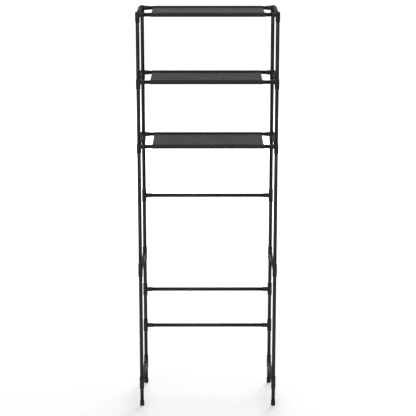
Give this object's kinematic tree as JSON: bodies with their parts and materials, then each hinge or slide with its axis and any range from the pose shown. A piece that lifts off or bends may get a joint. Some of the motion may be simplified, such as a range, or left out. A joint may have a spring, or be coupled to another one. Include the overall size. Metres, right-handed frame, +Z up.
{
  "type": "over-toilet storage rack",
  "caption": "Tall free-standing rack of slim tubes and push-on fittings, with fabric shelves above an open bay that stands over a toilet.",
  "frame": {"origin": "on the floor, midway between the four feet", "axes": "+Z up along the legs, +Y from the front to the rear, +X to the right as seen from the front"},
  "size_m": [0.569, 0.279, 1.6448],
  "materials": {
    "tube_coating": "black powder coat with a soft satin sheen",
    "fitting_plastic": "black moulded plastic, fine matt texture",
    "shelf_fabric": "dark grey-black plain-weave non-stretch cloth, matt",
    "foot_plastic": "black moulded plastic, slightly softer than the fittings"
  },
  "bodies": {
    "root": {"base_brace_tee_front_left": "fitting_plastic", "base_brace_tee_front_right": "fitting_plastic", "base_brace_tee_rear_left": "fitting_plastic", "base_brace_tee_rear_right": "fitting_plastic", "base_brace_tube_left": "tube_coating", "base_brace_tube_right": "tube_coating", "foot_cap_front_left": "foot_plastic", "foot_cap_front_right": "foot_plastic", "foot_cap_rear_left": "foot_plastic", "foot_cap_rear_right": "foot_plastic", "high_bar_tee_left": "fitting_plastic", "high_bar_tee_right": "fitting_plastic", "high_bar_tube": "tube_coating", "leg_front_left_lower": "tube_coating", "leg_front_left_upper": "tube_coating", "leg_front_right_lower": "tube_coating", "leg_front_right_upper": "tube_coating", "leg_rear_left_lower": "tube_coating", "leg_rear_left_upper": "tube_coating", "leg_rear_right_lower": "tube_coating", "leg_rear_right_upper": "tube_coating", "low_bar_tee_left": "fitting_plastic", "low_bar_tee_right": "fitting_plastic", "low_bar_tube": "tube_coating", "lower_shelf_corner_front_left": "fitting_plastic", "lower_shelf_corner_front_right": "fitting_plastic", "lower_shelf_corner_rear_left": "fitting_plastic", "lower_shelf_corner_rear_right": "fitting_plastic", "lower_shelf_fabric": "shelf_fabric", "lower_shelf_rail_front": "tube_coating", "lower_shelf_rail_rear": "tube_coating", "lower_shelf_side_tube_left": "tube_coating", "lower_shelf_side_tube_right": "tube_coating", "mid_bar_tee_left": "fitting_plastic", "mid_bar_tee_right": "fitting_plastic", "mid_bar_tube": "tube_coating", "middle_shelf_corner_front_left": "fitting_plastic", "middle_shelf_corner_front_right": "fitting_plastic", "middle_shelf_corner_rear_left": "fitting_plastic", "middle_shelf_corner_rear_right": "fitting_plastic", "middle_shelf_fabric": "shelf_fabric", "middle_shelf_rail_front": "tube_coating", "middle_shelf_rail_rear": "tube_coating", "middle_shelf_side_tube_left": "tube_coating", "middle_shelf_side_tube_right": "tube_coating", "top_shelf_corner_front_left": "fitting_plastic", "top_shelf_corner_front_right": "fitting_plastic", "top_shelf_corner_rear_left": "fitting_plastic", "top_shelf_corner_rear_right": "fitting_plastic", "top_shelf_fabric": "shelf_fabric", "top_shelf_rail_front": "tube_coating", "top_shelf_rail_rear": "tube_coating", "top_shelf_side_tube_left": "tube_coating", "top_shelf_side_tube_right": "tube_coating", "upper_brace_tee_front_left": "fitting_plastic", "upper_brace_tee_front_right": "fitting_plastic", "upper_brace_tee_rear_left": "fitting_plastic", "upper_brace_tee_rear_right": "fitting_plastic", "upper_brace_tube_left": "tube_coating", "upper_brace_tube_right": "tube_coating"}
  },
  "joints": []
}
